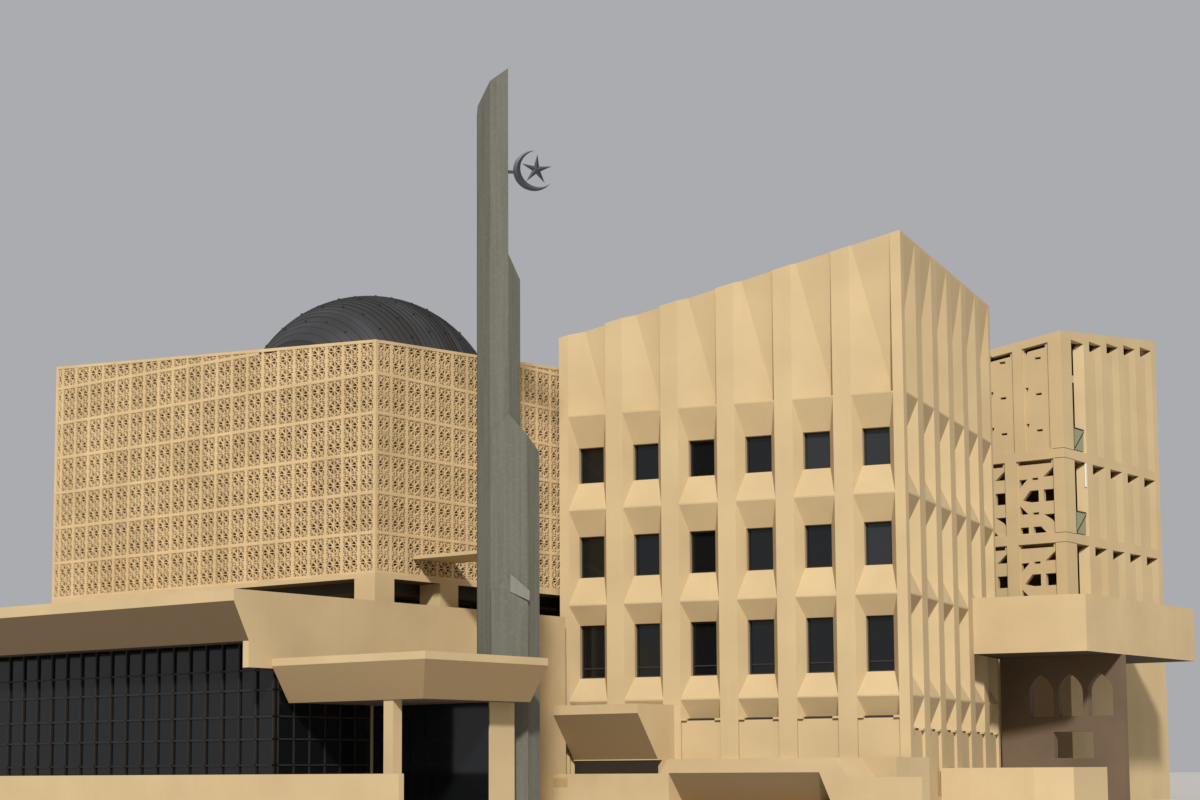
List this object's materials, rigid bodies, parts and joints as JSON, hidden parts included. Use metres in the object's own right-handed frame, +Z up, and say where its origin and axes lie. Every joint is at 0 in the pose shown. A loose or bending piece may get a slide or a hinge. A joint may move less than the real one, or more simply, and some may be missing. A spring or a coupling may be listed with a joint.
{
  "type": "1:2 scale model of a mosque with a prayer hall, dome, classroom block and minaret",
  "caption": "Mosque with a screened prayer hall on columns, low dome, folded classroom block, stair tower, raised planters and a tiered minaret with crescent and star, as a 1:2 scale model.",
  "frame": {"origin": "bottom centre of the bounding box, on the ground", "axes": "+X right along the prayer hall's front, +Y back along its right side, +Z up"},
  "size_m": [19.3, 27.05, 14.3],
  "materials": {
    "render": "beige painted cement render, matt",
    "screen": "cast concrete screen, painted beige, matt",
    "glass": "dark tinted window glass",
    "dome": "charcoal coated standing-seam metal sheet",
    "minaret": "olive grey stone cladding, honed",
    "steel": "satin stainless steel"
  },
  "bodies": {
    "root": {"classroom_back_wall": "render", "classroom_floor_0": "render", "classroom_floor_1": "render", "classroom_floor_2": "render", "classroom_floor_3": "render", "classroom_floor_4": "render", "classroom_front_wall": "render", "classroom_glass_1": "glass", "classroom_glass_2": "glass", "classroom_glass_3": "glass", "classroom_left_wall": "render", "classroom_right_wall": "render", "classroom_roof": "render", "crescent_and_star": "steel", "crescent_bracket": "steel", "dome_shell": "dome", "front_low_wall": "render", "ground_floor_hall": "render", "ground_front_glazing": "glass", "hall_column_1": "render", "hall_column_2": "render", "hall_column_3": "render", "hall_column_4": "render", "hall_column_5": "render", "hall_floor": "render", "hall_glazing": "glass", "hall_roof": "render", "hall_screen_back": "screen", "hall_screen_front": "screen", "hall_screen_left": "screen", "hall_screen_right": "screen", "lower_planter": "render", "middle_planter": "render", "minaret_base_face": "minaret", "minaret_lower_tier": "minaret", "minaret_shaft": "minaret", "minaret_upper_tier": "minaret", "podium_arch_wall": "render", "podium_slab": "render", "side_canopy": "render", "side_planter": "render", "terrace_back_wall": "render", "terrace_front_planter": "render", "terrace_left_wall": "render", "terrace_right_wall": "render", "terrace_slab": "render", "tower_back_wall": "render", "tower_balustrade_1": "steel", "tower_balustrade_2": "steel", "tower_balustrade_3": "steel", "tower_floor_1": "render", "tower_floor_2": "render", "tower_floor_3": "render", "tower_front_wall": "render", "tower_left_wall": "render", "tower_right_wall": "render", "tower_roof": "render", "undercroft_glazing": "glass", "upper_planter": "render"}
  },
  "joints": []
}
